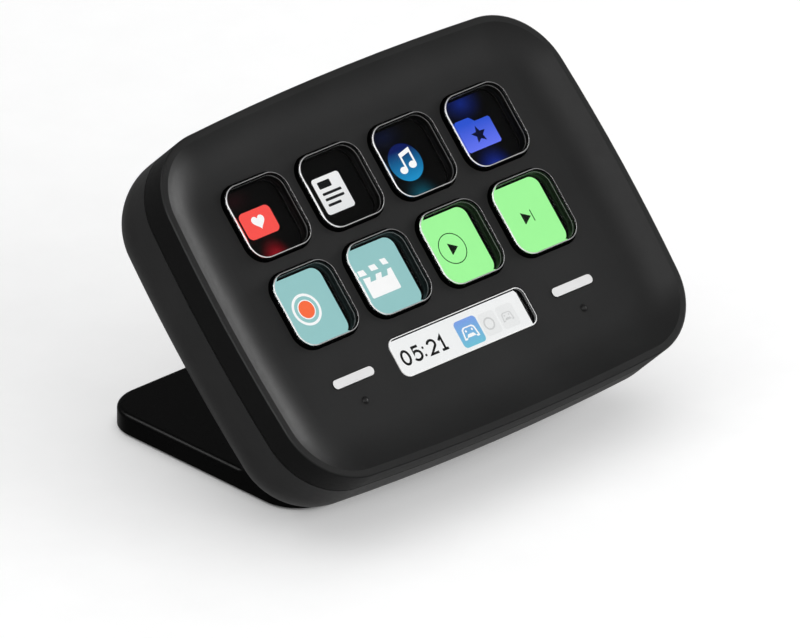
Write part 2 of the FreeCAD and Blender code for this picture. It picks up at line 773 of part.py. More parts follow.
def keycap(row, column):
    """Clear key block: a full-size head on a smaller body that the sleeve holds."""
    body = new_body("keycap_%d_%d" % (row + 1, column + 1))
    spots = [key_spot(row, column)]
    plate(body, "block", CAP_BOTTOM, CAP_SHOULDER, *BLOCK, BLOCK_CORNER, spots)
    plate(body, "head", CAP_SHOULDER, "cap_rise", *CAP, "cap_corner", spots)
    round_edges(body, "head_edge", "cap_edge_radius", level_edge(size("cap_rise")))
    return body


def key_sleeve(row, column):
    """Black sleeve round the key block; its flange stops behind the face and presses the dome."""
    body = new_body("key_sleeve_%d_%d" % (row + 1, column + 1))
    spots = [key_spot(row, column)]
    plate(body, "flange", FLANGE_BOTTOM, FLANGE_TOP, *FLANGE, FLANGE_CORNER, spots)
    plate(body, "sleeve", FLANGE_BOTTOM, CAP_SHOULDER, *CAP, "cap_corner", spots)
    bore = grown(BLOCK, "+ 2 * glue_gap")
    plate_cut(body, "bore", CAP_SHOULDER, "", *bore, BLOCK_CORNER + " + glue_gap", spots)
    return body


def key_dome(row, column):
    """Silicone spring ring under one key's flange."""
    body = new_body("key_dome_%d_%d" % (row + 1, column + 1))
    spots = [key_spot(row, column)]
    outer = grown(KEY_WINDOW, "+ 2 * dome_wall")
    plate(body, "ring", CIRCUIT_TOP, FLANGE_BOTTOM, *outer, KEY_WINDOW_CORNER + " + dome_wall", spots)
    plate_cut(body, "ring_hole", CIRCUIT_TOP, "", *KEY_WINDOW, KEY_WINDOW_CORNER, spots)
    return body


def key_circuit():
    """Thin switch circuit on the display, with a window for each key and for the information bar."""
    body = new_body("key_circuit")
    plate(body, "sheet", DISPLAY_TOP, CIRCUIT_TOP, *PANEL, "panel_corner", [PANEL_SPOT])
    plate_cut(body, "key_windows", "0", "", *KEY_WINDOW, KEY_WINDOW_CORNER, KEY_SPOTS)
    plate_cut(body, "info_window", "0", "", *grown(INFO, "+ window_flange"), "info_corner", [INFO_SPOT])
    return body


def touch_leds():
    """Pairs of small lamps on the switch circuit behind each light bar."""
    body = new_body("touch_leds")
    spots = []
    for x, y in BAR_SPOTS:
        spots.append((x + " - led_spacing / 2", y))
        spots.append((x + " + led_spacing / 2", y))
    corner = "led_width / 8"
    high = CIRCUIT_TOP + " + led_height"
    plate(body, "lamps", CIRCUIT_TOP, high, "led_length", "led_width", corner, spots)
    return body


def touch_electrodes():
    """Sensing foils bonded behind the face under the touch bumps."""
    body = new_body("touch_electrodes")
    plate(body, "foils", "- face_thickness - electrode_thickness", "- face_thickness", "electrode_length",
          "electrode_width", "electrode_width / 4", BUMP_SPOTS)
    return body


def display_glass():
    body = new_body("display_glass")
    plate(body, "cell", GLASS_BOTTOM, DISPLAY_TOP, *PANEL, "panel_corner", [PANEL_SPOT])
    return body


def display_backlight():
    """Light guide tray that the display cell is bonded to."""
    body = new_body("display_backlight")
    tray = grown(PANEL, "+ 2 * backlight_lip")
    plate(body, "tray", PLATE_TOP, GLASS_BOTTOM, *tray, "panel_corner + backlight_lip", [PANEL_SPOT])
    return body


def display_flex():
    """Ribbon from the display's lower edge, through the backing plate's slot, to its connector."""
    body = new_body("display_flex")
    sketch = place_sketch(body, "ribbon_sketch", "YZ_Plane", "0")
    front = DISPLAY_TOP + " - glass_thickness / 2"
    back = BOARD_TOP + " + connector_height / 2"
    bend = PANEL_LOW + " - flex_reach"
    half = "flex_thickness / 2"
    corners = [
        (PANEL_LOW, front + " + " + half),
        (bend + " - " + half, front + " + " + half),
        (bend + " - " + half, back + " - " + half),
        (CONNECTOR_EDGE, back + " - " + half),
        (CONNECTOR_EDGE, back + " + " + half),
        (bend + " + " + half, back + " + " + half),
        (bend + " + " + half, front + " - " + half),
        (PANEL_LOW, front + " - " + half),
    ]
    draw_polygon(sketch, corners)
    raise_both_ways(body, sketch, "ribbon", "flex_width")
    return body


def flex_connector():
    body = new_body("flex_connector")
    spot = ("0", CONNECTOR_EDGE + " + connector_width / 2")
    plate(body, "housing", BOARD_TOP, BOARD_TOP + " + connector_height", "connector_length",
          "connector_width", "connector_height / 4", [spot])
    return body


def backing_plate():
    """Steel plate that clamps the display stack to the front cover's bosses."""
    body = new_body("backing_plate")
    height = "2 * ( " + PLATE_EDGE + " )"
    plate(body, "sheet", PLATE_BOTTOM, PLATE_TOP, PANEL[0], height, "plate_corner", [CENTRE])
    hole = "plate_screw_radius + thread_clearance"
    disc_cut(body, "screw_holes", "0", "", hole, PLATE_SCREW_SPOTS)
    slot = ("flex_width + 2 * flex_slot_gap", "flex_thickness + 2 * flex_slot_gap", "flex_slot_gap")
    plate_cut(body, "ribbon_slot", "0", "", *slot, [("0", PANEL_LOW + " - flex_reach")])
    return body


def screws(label, seat, head_radius, head_height, shank_radius, shank_length, spots):
    """Pan-head screws pointing up out of the back, heads below their seat."""
    body = new_body(label)
    head_low = seat + " - " + head_height
    disc(body, "heads", head_low, seat, head_radius, spots)
    disc(body, "shanks", seat, seat + " + " + shank_length, shank_radius, spots)
    disc_cut(body, "drives", head_low + " + drive_depth", "drive_depth", shank_radius + " * drive_share",
             spots)
    return body


def plate_screws():
    return screws("plate_screws", PLATE_BOTTOM, "plate_head_radius", "plate_head_height",
                  "plate_screw_radius", "plate_screw_length", PLATE_SCREW_SPOTS)


def case_screws():
    return screws("case_screws", CASE_SEAT, "case_head_radius", "case_head_height",
                  "case_screw_radius", "case_screw_length", CASE_SCREW_SPOTS)


def board_screws():
    return screws("board_screws", BOARD_BOTTOM, "plate_head_radius", "plate_head_height",
                  "plate_screw_radius", "board_screw_length", STANDOFF_SPOTS)


def board_standoffs():
    """Threaded pillars riveted to the backing plate."""
    body = new_body("board_standoffs")
    disc(body, "pillars", BOARD_TOP, PLATE_BOTTOM, "standoff_radius", STANDOFF_SPOTS)
    hole = "plate_screw_radius + thread_clearance"
    disc_cut(body, "threads", "0", "", hole, STANDOFF_SPOTS)
    return body


def main_board():
    body = new_body("main_board")
    plate(body, "sheet", BOARD_BOTTOM, BOARD_TOP, *BOARD, "board_corner", [("0", BOARD_LEVEL)])
    hole = "plate_screw_radius + thread_clearance"
    disc_cut(body, "screw_holes", "0", "", hole, STANDOFF_SPOTS)
    return body


def board_chips():
    """Processor, with a memory chip to each side, on the back of the main board."""
    body = new_body("board_chips")
    low = BOARD_BOTTOM + " - chip_height"
    corner = "chip_height / 4"
    plate(body, "processor", low, BOARD_BOTTOM, "processor_size", "processor_size", corner,
          [("0", BOARD_LEVEL)])
    sides = [("- chip_spacing", BOARD_LEVEL), ("chip_spacing", BOARD_LEVEL)]
    plate(body, "memories", low, BOARD_BOTTOM, "memory_length", "memory_width", corner, sides)
    return body


def cable_socket():
    """Reversible cable socket on the board's upper edge: a metal shell with a tongue inside."""
    body = new_body("cable_socket")
    sketch = place_sketch(body, "shell_sketch", "XZ_Plane", negative(SOCKET_MOUTH))
    draw_round_rectangle(sketch, "socket_width", "socket_height", "socket_corner", "0", SOCKET_LEVEL)
    raise_pad(body, sketch, "shell", "socket_length")
    inside = place_sketch(body, "mouth_sketch", "XZ_Plane", negative(SOCKET_BACK + " + socket_wall"))
    draw_round_rectangle(inside, "socket_width - 2 * socket_wall", "socket_height - 2 * socket_wall",
                         "socket_corner - socket_wall", "0", SOCKET_LEVEL)
    cut_pocket(body, inside, "mouth", "socket_length")
    tongue = place_sketch(body, "tongue_sketch", "XZ_Plane",
                          negative(SOCKET_BACK + " + socket_wall / 2 + socket_tongue_length"))
    draw_round_rectangle(tongue, "socket_tongue_width", "socket_tongue", "socket_tongue / 4", "0",
                         SOCKET_LEVEL)
    raise_pad(body, tongue, "tongue", "socket_tongue_length")
    return body


def stand_magnets():
    body = new_body("stand_magnets")
    disc(body, "magnets", MAGNET_BOTTOM, MAGNET_BOTTOM + " + magnet_thickness", "magnet_radius",
         MAGNET_SPOTS)
    return body


def ballast_plate():
    """Steel weight on the rear cover's floor, cut clear of the magnets' rings."""
    body = new_body("ballast_plate")
    slab = ("2 * ( " + WELL_SIDE + " - ballast_side_gap )", "2 * ( " + FLAT_HALF + " - ballast_edge_gap )")
    high = CAVITY_FLOOR + " + ballast_thickness"
    plate(body, "slab", CAVITY_FLOOR, high, *slab, "ballast_corner", [CENTRE])
    hole = "magnet_radius + magnet_gap + magnet_ring_wall + ballast_hole_gap"
    disc_cut(body, "ring_holes", "0", "", hole, MAGNET_SPOTS)
    return body


# The stand is drawn in the world frame, so that its leg follows the case's tilted back

STAND_LOW = "pad_proud"
STAND_HIGH = "pad_proud + stand_thickness"


def back_reach(depth, level):
    """How far back a plane parallel to the face, at a depth behind it, meets a level."""
    rise = "( " + level + " - " + FACE_HEIGHT + " ) * cos( tilt )"
    return "- " + FACE_SETBACK + " + ( " + depth + " + " + rise + " ) / sin( tilt )"


NOSE = back_reach("back_depth", STAND_LOW)
FOLD = back_reach("back_depth + stand_thickness", STAND_HIGH)
LEG_TIP = (NOSE + " + leg_length * cos( tilt )", STAND_LOW + " + leg_length * sin( tilt )")
LEG_HEEL = (
    LEG_TIP[0] + " + stand_thickness * sin( tilt )",
    LEG_TIP[1] + " - stand_thickness * cos( tilt )",
)


def back_sketch(body, name):
    """A sketch on the plane of the case's back, in the world frame."""
    sketch = place_sketch(body, name, "XY_Plane", FACE_HEIGHT + " - back_depth * cos( tilt )")
    back_middle = "- " + FACE_SETBACK + " + back_depth * sin( tilt )"
    sketch.setExpression("AttachmentOffset.Base.y", bound(back_middle))
    offset = sketch.AttachmentOffset
    offset.Rotation = FreeCAD.Rotation(X_AXIS, size("tilt"))
    sketch.AttachmentOffset = offset
    sketch.setExpression("AttachmentOffset.Rotation.Angle", bound("tilt"))
    return sketch


def stand_frame():
    """Folded stand: a floor plate, and a leg that lies flat on the case's back."""
    body = new_body("stand_frame")
    sketch = place_sketch(body, "fold_sketch", "YZ_Plane", "0")
    corners = [
        ("stand_reach", STAND_LOW),
        ("stand_reach", STAND_HIGH),
        (FOLD, STAND_HIGH),
        LEG_HEEL,
        LEG_TIP,
        (NOSE, STAND_LOW),
    ]
    draw_polygon(sketch, corners)
    raise_both_ways(body, sketch, "folded_plate", "stand_width")
    plan = place_sketch(body, "plan_sketch", "XY_Plane", "0")
    middle = "( stand_reach + " + NOSE + " ) / 2"
    reach = "stand_reach - ( " + NOSE + " )"
    draw_round_rectangle(plan, "stand_width", reach, "stand_corner", "0", middle)
    spare = " + 4 * overrun"
    draw_round_rectangle(plan, "stand_width" + spare, reach + spare, "overrun", "0", middle)
    cut_pocket(body, plan, "plan_corners")
    tip_level = value(LEG_HEEL[1])
    thickness = size("stand_thickness")

    def leg_corner(edge):
        flat_length = abs(edge.Length - thickness) < CLOSE
        return flat_length and edge.BoundBox.ZMax > tip_level and edge.BoundBox.XLength < CLOSE

    round_edges(body, "leg_corners", "stand_corner", leg_corner)
    fold_y = value(FOLD)
    high = value(STAND_HIGH)
    behind = FreeCAD.Vector(0, math.sin(math.radians(size("tilt"))), -math.cos(math.radians(size("tilt"))))
    leg_back = behind.dot(FreeCAD.Vector(0, fold_y, high))

    def inner_rim(edge):
        """The edge round the floor's top and the leg's back, without the fold's own lines."""
        box = edge.BoundBox
        for vertex in edge.Vertexes:
            if abs(vertex.Z - high) > CLOSE and abs(behind.dot(vertex.Point) - leg_back) > CLOSE:
                return False
        straight_across = box.YLength < CLOSE and box.ZLength < CLOSE
        at_an_end = abs(box.YMax - size("stand_reach")) < CLOSE or abs(box.ZMax - tip_level) < CLOSE
        return at_an_end or not straight_across

    def fold_edge(edge):
        box = edge.BoundBox
        return abs(box.YMin - fold_y) < CLOSE and abs(box.YMax - fold_y) < CLOSE and box.ZLength < CLOSE

    round_edges(body, "fold", "fold_radius", fold_edge)
    round_edges(body, "soft_rim", "stand_edge_radius", inner_rim)
    keeper_pockets = back_sketch(body, "keeper_sketch")
    for x, y in MAGNET_SPOTS:
        draw_circle(keeper_pockets, "magnet_radius + magnet_gap", x, y)
    cut_pocket(body, keeper_pockets, "keeper_pockets", "keeper_thickness")
    locators = back_sketch(body, "locator_sketch")
    for x, y in LOCATOR_SPOTS:
        draw_circle(locators, "locator_radius", x, y)
    raise_pad(body, locators, "locators", "locator_height")
    recess = "2 * ( stand_reach - pad_margin + pad_gap )"
    across = "stand_width - 2 * ( pad_margin - pad_gap )"
    plate_cut(body, "pad_recess", "pad_thickness", "pad_thickness", across, recess,
              "stand_corner - pad_margin + pad_gap", [CENTRE])
    return body


def stand_keepers():
    """Steel discs in the leg that the case's magnets hold."""
    body = new_body("stand_keepers")
    disc(body, "keepers", "- back_depth - keeper_thickness", "- back_depth", "magnet_radius", MAGNET_SPOTS)
    return body


def base_pad():
    """Rubber pad let into the floor plate, a little proud of it."""
    body = new_body("base_pad")
    plate(body, "sheet", "0", "pad_thickness", "stand_width - 2 * pad_margin",
          "2 * ( stand_reach - pad_margin )", "stand_corner - pad_margin", [CENTRE])
    return body


IN_THE_CASE = [
    front_cover(), rear_cover(), info_window(), light_bar("left", BAR_SPOTS[0]),
    light_bar("right", BAR_SPOTS[1]), key_circuit(), touch_leds(), touch_electrodes(), display_glass(),
    display_backlight(), display_flex(), flex_connector(), backing_plate(), plate_screws(),
    board_standoffs(), main_board(), board_screws(), board_chips(), cable_socket(), stand_magnets(),
    ballast_plate(), case_screws(), stand_keepers(),
]
for key_row, key_column in KEYS:
    IN_THE_CASE += [
        keycap(key_row, key_column), key_sleeve(key_row, key_column), key_dome(key_row, key_column),
    ]
ON_THE_DESK = [stand_frame(), base_pad()]

for case_piece in IN_THE_CASE:
    tilt_into_place(case_piece)
doc.recompute()

for item in doc.Objects:
    if "Invalid" in item.State or "Error" in item.State:
        raise RuntimeError(item.Label + " is " + ", ".join(item.State))
os.makedirs("parts", exist_ok=True)
for piece in IN_THE_CASE + ON_THE_DESK:
    if piece.Shape.isNull() or not piece.Shape.isValid():
        raise RuntimeError(piece.Label + " has no valid shape")
for piece in IN_THE_CASE + ON_THE_DESK:
    piece.Shape.exportStep("parts/" + piece.Label + ".step")
    print(piece.Label, len(piece.Shape.Solids), round(piece.Shape.Volume))
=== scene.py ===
import math

import bmesh
import bpy
from mathutils import Matrix, Vector


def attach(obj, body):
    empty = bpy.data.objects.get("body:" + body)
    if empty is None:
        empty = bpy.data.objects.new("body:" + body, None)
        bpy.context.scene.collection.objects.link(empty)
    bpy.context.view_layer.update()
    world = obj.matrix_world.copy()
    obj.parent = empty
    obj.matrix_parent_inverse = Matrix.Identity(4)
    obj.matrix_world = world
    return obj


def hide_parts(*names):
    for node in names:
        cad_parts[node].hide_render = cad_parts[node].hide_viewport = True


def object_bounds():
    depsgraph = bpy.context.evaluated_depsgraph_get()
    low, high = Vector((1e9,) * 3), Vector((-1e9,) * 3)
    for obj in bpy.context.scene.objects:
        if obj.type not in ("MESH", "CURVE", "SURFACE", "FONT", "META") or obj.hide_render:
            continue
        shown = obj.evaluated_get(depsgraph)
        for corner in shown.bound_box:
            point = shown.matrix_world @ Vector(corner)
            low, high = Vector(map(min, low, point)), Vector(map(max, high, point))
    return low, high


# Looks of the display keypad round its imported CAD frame. Metres, in the part's own frame.
# Pieces on the tilted face are drawn in millimetres in the face frame: u right, v up the face
# and w out of it.

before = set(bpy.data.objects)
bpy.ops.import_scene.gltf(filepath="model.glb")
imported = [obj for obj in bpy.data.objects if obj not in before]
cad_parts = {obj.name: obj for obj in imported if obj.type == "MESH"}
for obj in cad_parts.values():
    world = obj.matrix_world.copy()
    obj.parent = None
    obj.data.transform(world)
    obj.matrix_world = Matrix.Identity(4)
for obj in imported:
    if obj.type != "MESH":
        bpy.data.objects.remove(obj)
cad_low, cad_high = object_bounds()

MM = 0.001
TILT = math.radians(46.0)
FACE_CENTRE = Vector((0.0, -20.478, 41.997)) * MM
FACE = Matrix.Translation(FACE_CENTRE) @ Matrix.Rotation(TILT, 4, "X")
FACE_NORMAL = FACE.to_3x3() @ Vector((0.0, 0.0, 1.0))
TO_FACE = FACE.inverted()

KEY_ROWS = 2
KEY_COLUMNS = 4
KEY_PITCH = 19.57
TOP_ROW = 17.65
CAP_TOP = 1.3
INFO_V = -18.3
DOT_U = 29.4
DOT_V = -23.3


def key_centre(row, column):
    """Centre of a key on the face."""
    return (column - 0.5 * (KEY_COLUMNS - 1)) * KEY_PITCH, TOP_ROW - row * KEY_PITCH


def face_level(node, highest=True):
    """A CAD node's highest or lowest level in the face frame, in millimetres."""
    levels = [(TO_FACE @ vertex.co).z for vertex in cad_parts[node].data.vertices]
    return (max(levels) if highest else min(levels)) / MM


DISPLAY_TOP = face_level("display_glass")
CAP_BOTTOM = face_level("keycap_1_1", highest=False)
WINDOW_BOTTOM = face_level("infobar_window", highest=False)
WINDOW_TOP = face_level("infobar_window")


# Shader nodes

MIX_FACTOR, MIX_FIRST, MIX_SECOND, MIX_RESULT = 0, 6, 7, 2


def grey(level):
    return (level, level, level)


def feed(tree, value, socket):
    """Link another node's output to a socket, or set the socket's own value."""
    if isinstance(value, bpy.types.NodeSocket):
        tree.links.new(value, socket)
    else:
        socket.default_value = value


def operate(tree, kind, operation, *values):
    """A Math or VectorMath node's outputs; each input is a value or another node's output."""
    node = tree.nodes.new(kind)
    node.operation = operation
    for i, value in enumerate(values):
        feed(tree, value, node.inputs[i])
    return node.outputs


def mix_colours(tree, factor, first, second, blend="MIX"):
    """A mix of two colours; each is three numbers or another node's output."""
    node = tree.nodes.new("ShaderNodeMix")
    node.data_type = "RGBA"
    node.blend_type = blend
    feed(tree, factor, node.inputs[MIX_FACTOR])
    for colour, index in ((first, MIX_FIRST), (second, MIX_SECOND)):
        feed(tree, (*colour, 1.0) if isinstance(colour, tuple) else colour, node.inputs[index])
    return node.outputs[MIX_RESULT]


def spread(tree, source, low, high, start=0.3, end=0.7):
    """The source, stretched from start..end to low..high."""
    node = tree.nodes.new("ShaderNodeMapRange")
    node.inputs["From Min"].default_value = start
    node.inputs["From Max"].default_value = end
    node.inputs["To Min"].default_value = low
    node.inputs["To Max"].default_value = high
    tree.links.new(source, node.inputs["Value"])
    return node.outputs["Result"]


def mottle(tree, source, dark, light):
    """A colour that wanders between two with the source."""
    return mix_colours(tree, spread(tree, source, 0.0, 1.0), dark, light)


def noise(tree, vector, scale, detail=3.0, roughness=0.55):
    node = tree.nodes.new("ShaderNodeTexNoise")
    node.inputs["Scale"].default_value = scale
    node.inputs["Detail"].default_value = detail
    node.inputs["Roughness"].default_value = roughness
    tree.links.new(vector, node.inputs["Vector"])
    return node.outputs["Fac"]


def bump(tree, shader, layers):
    """Stack bumps: (height, distance in metres, strength) each."""
    normal = None
    for height, distance, strength in layers:
        node = tree.nodes.new("ShaderNodeBump")
        node.inputs["Strength"].default_value = strength
        node.inputs["Distance"].default_value = distance
        tree.links.new(height, node.inputs["Height"])
        if normal is not None:
            tree.links.new(normal, node.inputs["Normal"])
        normal = node.outputs["Normal"]
    tree.links.new(normal, shader.inputs["Normal"])


# Materials

def shader_of(material):
    return material.node_tree.nodes["Principled BSDF"]


def set_inputs(material, **settings):
    """Set the shader's own sockets, named with underscores for spaces."""
    for name, value in settings.items():
        shader_of(material).inputs[name.replace("_", " ")].default_value = value


def new_material(name):
    """A material with its node tree, its shader and its object coordinates."""
    material = bpy.data.materials.new(name)
    material.use_nodes = True
    tree = material.node_tree
    place = tree.nodes.new("ShaderNodeTexCoord").outputs["Object"]
    return material, tree, shader_of(material), place


def moulded(name, dark, light, gloss, grain_scale=7000.0, grain_depth=6e-6, grain=0.35):
    """Moulded plastic or rubber: fine spark grain, slow roughness changes and faint mottling."""
    material, tree, shader, place = new_material(name)
    fine = noise(tree, place, grain_scale, 2.0)
    broad = noise(tree, place, 60.0, 4.0)
    wear = noise(tree, place, 900.0, 6.0, 0.7)
    tree.links.new(mottle(tree, broad, dark, light), shader.inputs["Base Color"])
    tree.links.new(spread(tree, wear, *gloss), shader.inputs["Roughness"])
    bump(tree, shader, [(fine, grain_depth, grain), (wear, 8e-6, 0.15)])
    return material


def smooth(name, dark, light, gloss):
    """A moulded surface that is nearly free of grain."""
    return moulded(name, dark, light, gloss, 3000.0, 1e-6, 0.05)


def metal(name, dark, light, gloss, stretch=(1.0, 1.0, 1.0)):
    """Rolled or turned metal: lines along one way, blotches and a soft bump."""
    material, tree, shader, place = new_material(name)
    mapping = tree.nodes.new("ShaderNodeMapping")
    mapping.inputs["Scale"].default_value = stretch
    tree.links.new(place, mapping.inputs["Vector"])
    lines = noise(tree, mapping.outputs["Vector"], 2500.0, roughness=0.5)
    blotch = noise(tree, place, 220.0, 4.0)
    tree.links.new(mottle(tree, blotch, dark, light), shader.inputs["Base Color"])
    tree.links.new(spread(tree, lines, *gloss), shader.inputs["Roughness"])
    shader.inputs["Metallic"].default_value = 1.0
    bump(tree, shader, [(lines, 4e-6, 0.3), (blotch, 1e-5, 0.2)])
    return material


def clear(name):
    """Clear polished acrylic with faint smears."""
    material, tree, shader, place = new_material(name)
    smear = noise(tree, place, 160.0, 5.0, 0.6)
    tree.links.new(mottle(tree, smear, (0.97, 0.98, 0.98), grey(1.0)), shader.inputs["Base Color"])
    tree.links.new(spread(tree, smear, 0.0, 0.02), shader.inputs["Roughness"])
    shader.inputs["Transmission Weight"].default_value = 1.0
    shader.inputs["IOR"].default_value = 1.49
    bump(tree, shader, [(noise(tree, place, 35.0, 2.0), 2e-5, 0.05)])
    return material


def rebase(material, factor, dark, keep_at_one):
    """Mix the base colour with a dark one: the old colour stays where the factor is 1, or 0."""
    tree = material.node_tree
    socket = shader_of(material).inputs["Base Color"]
    old = socket.links[0].from_socket
    pair = (dark, old) if keep_at_one else (old, dark)
    tree.links.new(mix_colours(tree, factor, *pair), socket)


def paint_shade_away(material, dark, direction=FACE_NORMAL, start=0.1, end=0.45):
    """Painted shade: darker where a piece turns away from a direction in its own frame."""
    tree = material.node_tree
    normal = tree.nodes.new("ShaderNodeTexCoord").outputs["Normal"]
    facing = operate(tree, "ShaderNodeVectorMath", "DOT_PRODUCT", normal, direction)["Value"]
    rebase(material, spread(tree, facing, 0.0, 1.0, start, end), dark, True)


# A painted shade ring round each touch dot: where it starts, where it ends and its colour.
DOT_SHADE_INSIDE = (0.48 * MM, 0.62 * MM)
DOT_SHADE_OUTSIDE = (0.8 * MM, 1.0 * MM)
DOT_SHADE_BLACK = grey(0.003)


def paint_dot_shade_ring(material, u, v):
    """A thin dark ring of painted shade round the foot of a touch dot, at u, v on the face."""
    tree = material.node_tree
    spot = FACE @ (Vector((u, v, 0.0)) * MM)
    place = tree.nodes.new("ShaderNodeTexCoord").outputs["Object"]
    away = operate(tree, "ShaderNodeVectorMath", "DISTANCE", place, spot)["Value"]
    inside = spread(tree, away, 0.0, 1.0, *DOT_SHADE_INSIDE)
    outside = spread(tree, away, 1.0, 0.0, *DOT_SHADE_OUTSIDE)
    both = operate(tree, "ShaderNodeMath", "MULTIPLY", inside, outside)["Value"]
    rebase(material, both, DOT_SHADE_BLACK, False)


PIXEL = 0.153 * MM


def pixels(tree, place):
    """The faint dot raster of the panel, from 0 between dots to 1 on them."""
    scaling = tree.nodes.new("ShaderNodeVectorMath")
    scaling.operation = "SCALE"
    scaling.inputs["Scale"].default_value = 2 * math.pi / PIXEL
    tree.links.new(place, scaling.inputs[0])
    split = tree.nodes.new("ShaderNodeSeparateXYZ")
    tree.links.new(scaling.outputs["Vector"], split.inputs["Vector"])
    waves = [operate(tree, "ShaderNodeMath", "SINE", split.outputs[axis])["Value"]
             for axis in ("X", "Y")]
    both = operate(tree, "ShaderNodeMath", "MULTIPLY", *waves)["Value"]
    return spread(tree, both, 0.0, 1.0, -1.0, 1.0)


def linear(code):
    """A written sRGB colour as linear numbers."""
    channels = [int(code[i:i + 2], 16) / 255.0 for i in (1, 3, 5)]
    return tuple(c / 12.92 if c < 0.04045 else ((c + 0.055) / 1.055) ** 2.4 for c in channels)


SCREEN_LIGHT = 1.07
EVEN_LOW = 0.985
DOT_LOW = 0.94
screen_materials = {}


def glow_spot(tree, place, u, v, size_u, size_v):
    """A soft round spot on the panel, 1 in its middle and 0 at its rim."""
    mapping = tree.nodes.new("ShaderNodeMapping")
    mapping.inputs["Location"].default_value = (-u / size_u, -v / size_v, 0.0)
    mapping.inputs["Scale"].default_value = (1.0 / (size_u * MM), 1.0 / (size_v * MM), 0.0)
    tree.links.new(place, mapping.inputs["Vector"])
    ball = tree.nodes.new("ShaderNodeTexGradient")
    ball.gradient_type = "QUADRATIC_SPHERE"
    tree.links.new(mapping.outputs["Vector"], ball.inputs["Vector"])
    return spread(tree, ball.outputs["Fac"], 0.0, 1.0, 0.0, 1.0)


def lit(top, bottom=None, span=(0.0, 1.0), glow=()):
    """A lit picture area: one colour, or a gradient up the face between two, with glow spots."""
    key = (top, bottom, span, glow)
    if key in screen_materials:
        return screen_materials[key]
    name = "screen_%02d" % (len(screen_materials) + 1)
    material, tree, shader, place = new_material(name)
    if bottom:
        split = tree.nodes.new("ShaderNodeSeparateXYZ")
        tree.links.new(place, split.inputs["Vector"])
        height = spread(tree, split.outputs["Y"], 0.0, 1.0, span[0] * MM, span[1] * MM)
        colour = mix_colours(tree, height, linear(bottom), linear(top))
    else:
        base = linear(top)
        uneven = tuple(EVEN_LOW * c for c in base)
        colour = mottle(tree, noise(tree, place, 300.0), uneven, base)
    for u, v, size_u, size_v, code in glow:
        spot = glow_spot(tree, place, u, v, size_u, size_v)
        colour = mix_colours(tree, spot, colour, linear(code))
    dots = pixels(tree, place)
    raster = mix_colours(tree, dots, grey(DOT_LOW), grey(1.0))
    dotted = mix_colours(tree, 1.0, colour, raster, "MULTIPLY")
    tree.links.new(dotted, shader.inputs["Emission Color"])
    set_inputs(material, Base_Color=(0.004, 0.004, 0.004, 1.0), Roughness=0.35,
               Specular_IOR_Level=0.2, Emission_Strength=SCREEN_LIGHT)
    bump(tree, shader, [(dots, 1e-6, 0.2)])
    screen_materials[key] = material
    return material


case_black = moulded("case_black", grey(0.0087), grey(0.0112), (0.40, 0.50))
# Painted shade: the case's side walls, turned away from the face, are coloured darker than its
# face.
paint_shade_away(case_black, grey(0.0062))
# Painted shade round the foot of each touch dot.
for side in (-1, 1):
    paint_dot_shade_ring(case_black, side * DOT_U, DOT_V)
rear_black = moulded("rear_black", grey(0.022), grey(0.027), (0.34, 0.44))
stand_black = moulded("stand_black", grey(0.0016), grey(0.0024), (0.26, 0.34))
set_inputs(stand_black, Specular_IOR_Level=0.3)
sleeve_black = moulded("sleeve_black", grey(0.001), grey(0.002), (0.12, 0.2))
pad_rubber = moulded("pad_rubber", grey(0.006), grey(0.012), (0.7, 0.85), 2500.0, 2e-5, 0.6)
silicone = moulded("silicone_dark", grey(0.006), grey(0.009), (0.6, 0.75))
film = moulded("film", grey(0.003), grey(0.006), (0.4, 0.55))
diffuser = moulded("diffuser_white", grey(0.50), grey(0.55), (0.3, 0.4), 4000.0, 4e-6, 0.2)
# Painted shade: the light bars' sides, turned away from the face, are coloured dark.
paint_shade_away(diffuser, grey(0.02))
set_inputs(diffuser, Subsurface_Weight=0.2, Subsurface_Radius=grey(0.0008))
lamp = moulded("lamp", (0.6, 0.55, 0.35), (0.75, 0.7, 0.45), (0.2, 0.3))
glass_black = moulded("display", (0.001, 0.001, 0.0012), (0.002, 0.002, 0.0022), (0.05, 0.1),
                      3000.0, 1e-6, 0.1)
tray_white = moulded("tray_white", (0.6, 0.6, 0.58), (0.7, 0.7, 0.68), (0.35, 0.5))
ribbon = moulded("ribbon", (0.35, 0.14, 0.02), (0.45, 0.2, 0.04), (0.3, 0.45))
connector = moulded("connector", (0.5, 0.45, 0.34), (0.58, 0.52, 0.42), (0.4, 0.55))
laminate = moulded("board", (0.008, 0.06, 0.022), (0.012, 0.085, 0.034), (0.3, 0.5),
                   1500.0, 2e-5, 0.3)
chip = moulded("chip", grey(0.012), grey(0.02), (0.5, 0.65), 5000.0, 1e-5, 0.5)
steel = metal("steel", (0.42, 0.42, 0.43), (0.6, 0.6, 0.61), (0.25, 0.45), (1.0, 0.08, 1.0))
brass = metal("brass", (0.55, 0.38, 0.14), (0.75, 0.55, 0.24), (0.2, 0.35))
foil = metal("foil", (0.5, 0.24, 0.14), (0.7, 0.38, 0.25), (0.25, 0.4))
socket_metal = metal("socket_metal", (0.45, 0.45, 0.46), (0.62, 0.62, 0.63), (0.18, 0.35),
                     (1.0, 0.1, 0.1))
magnet = metal("magnet", (0.5, 0.5, 0.51), (0.66, 0.66, 0.67), (0.1, 0.22))
clear_plastic = clear("clear_plastic")

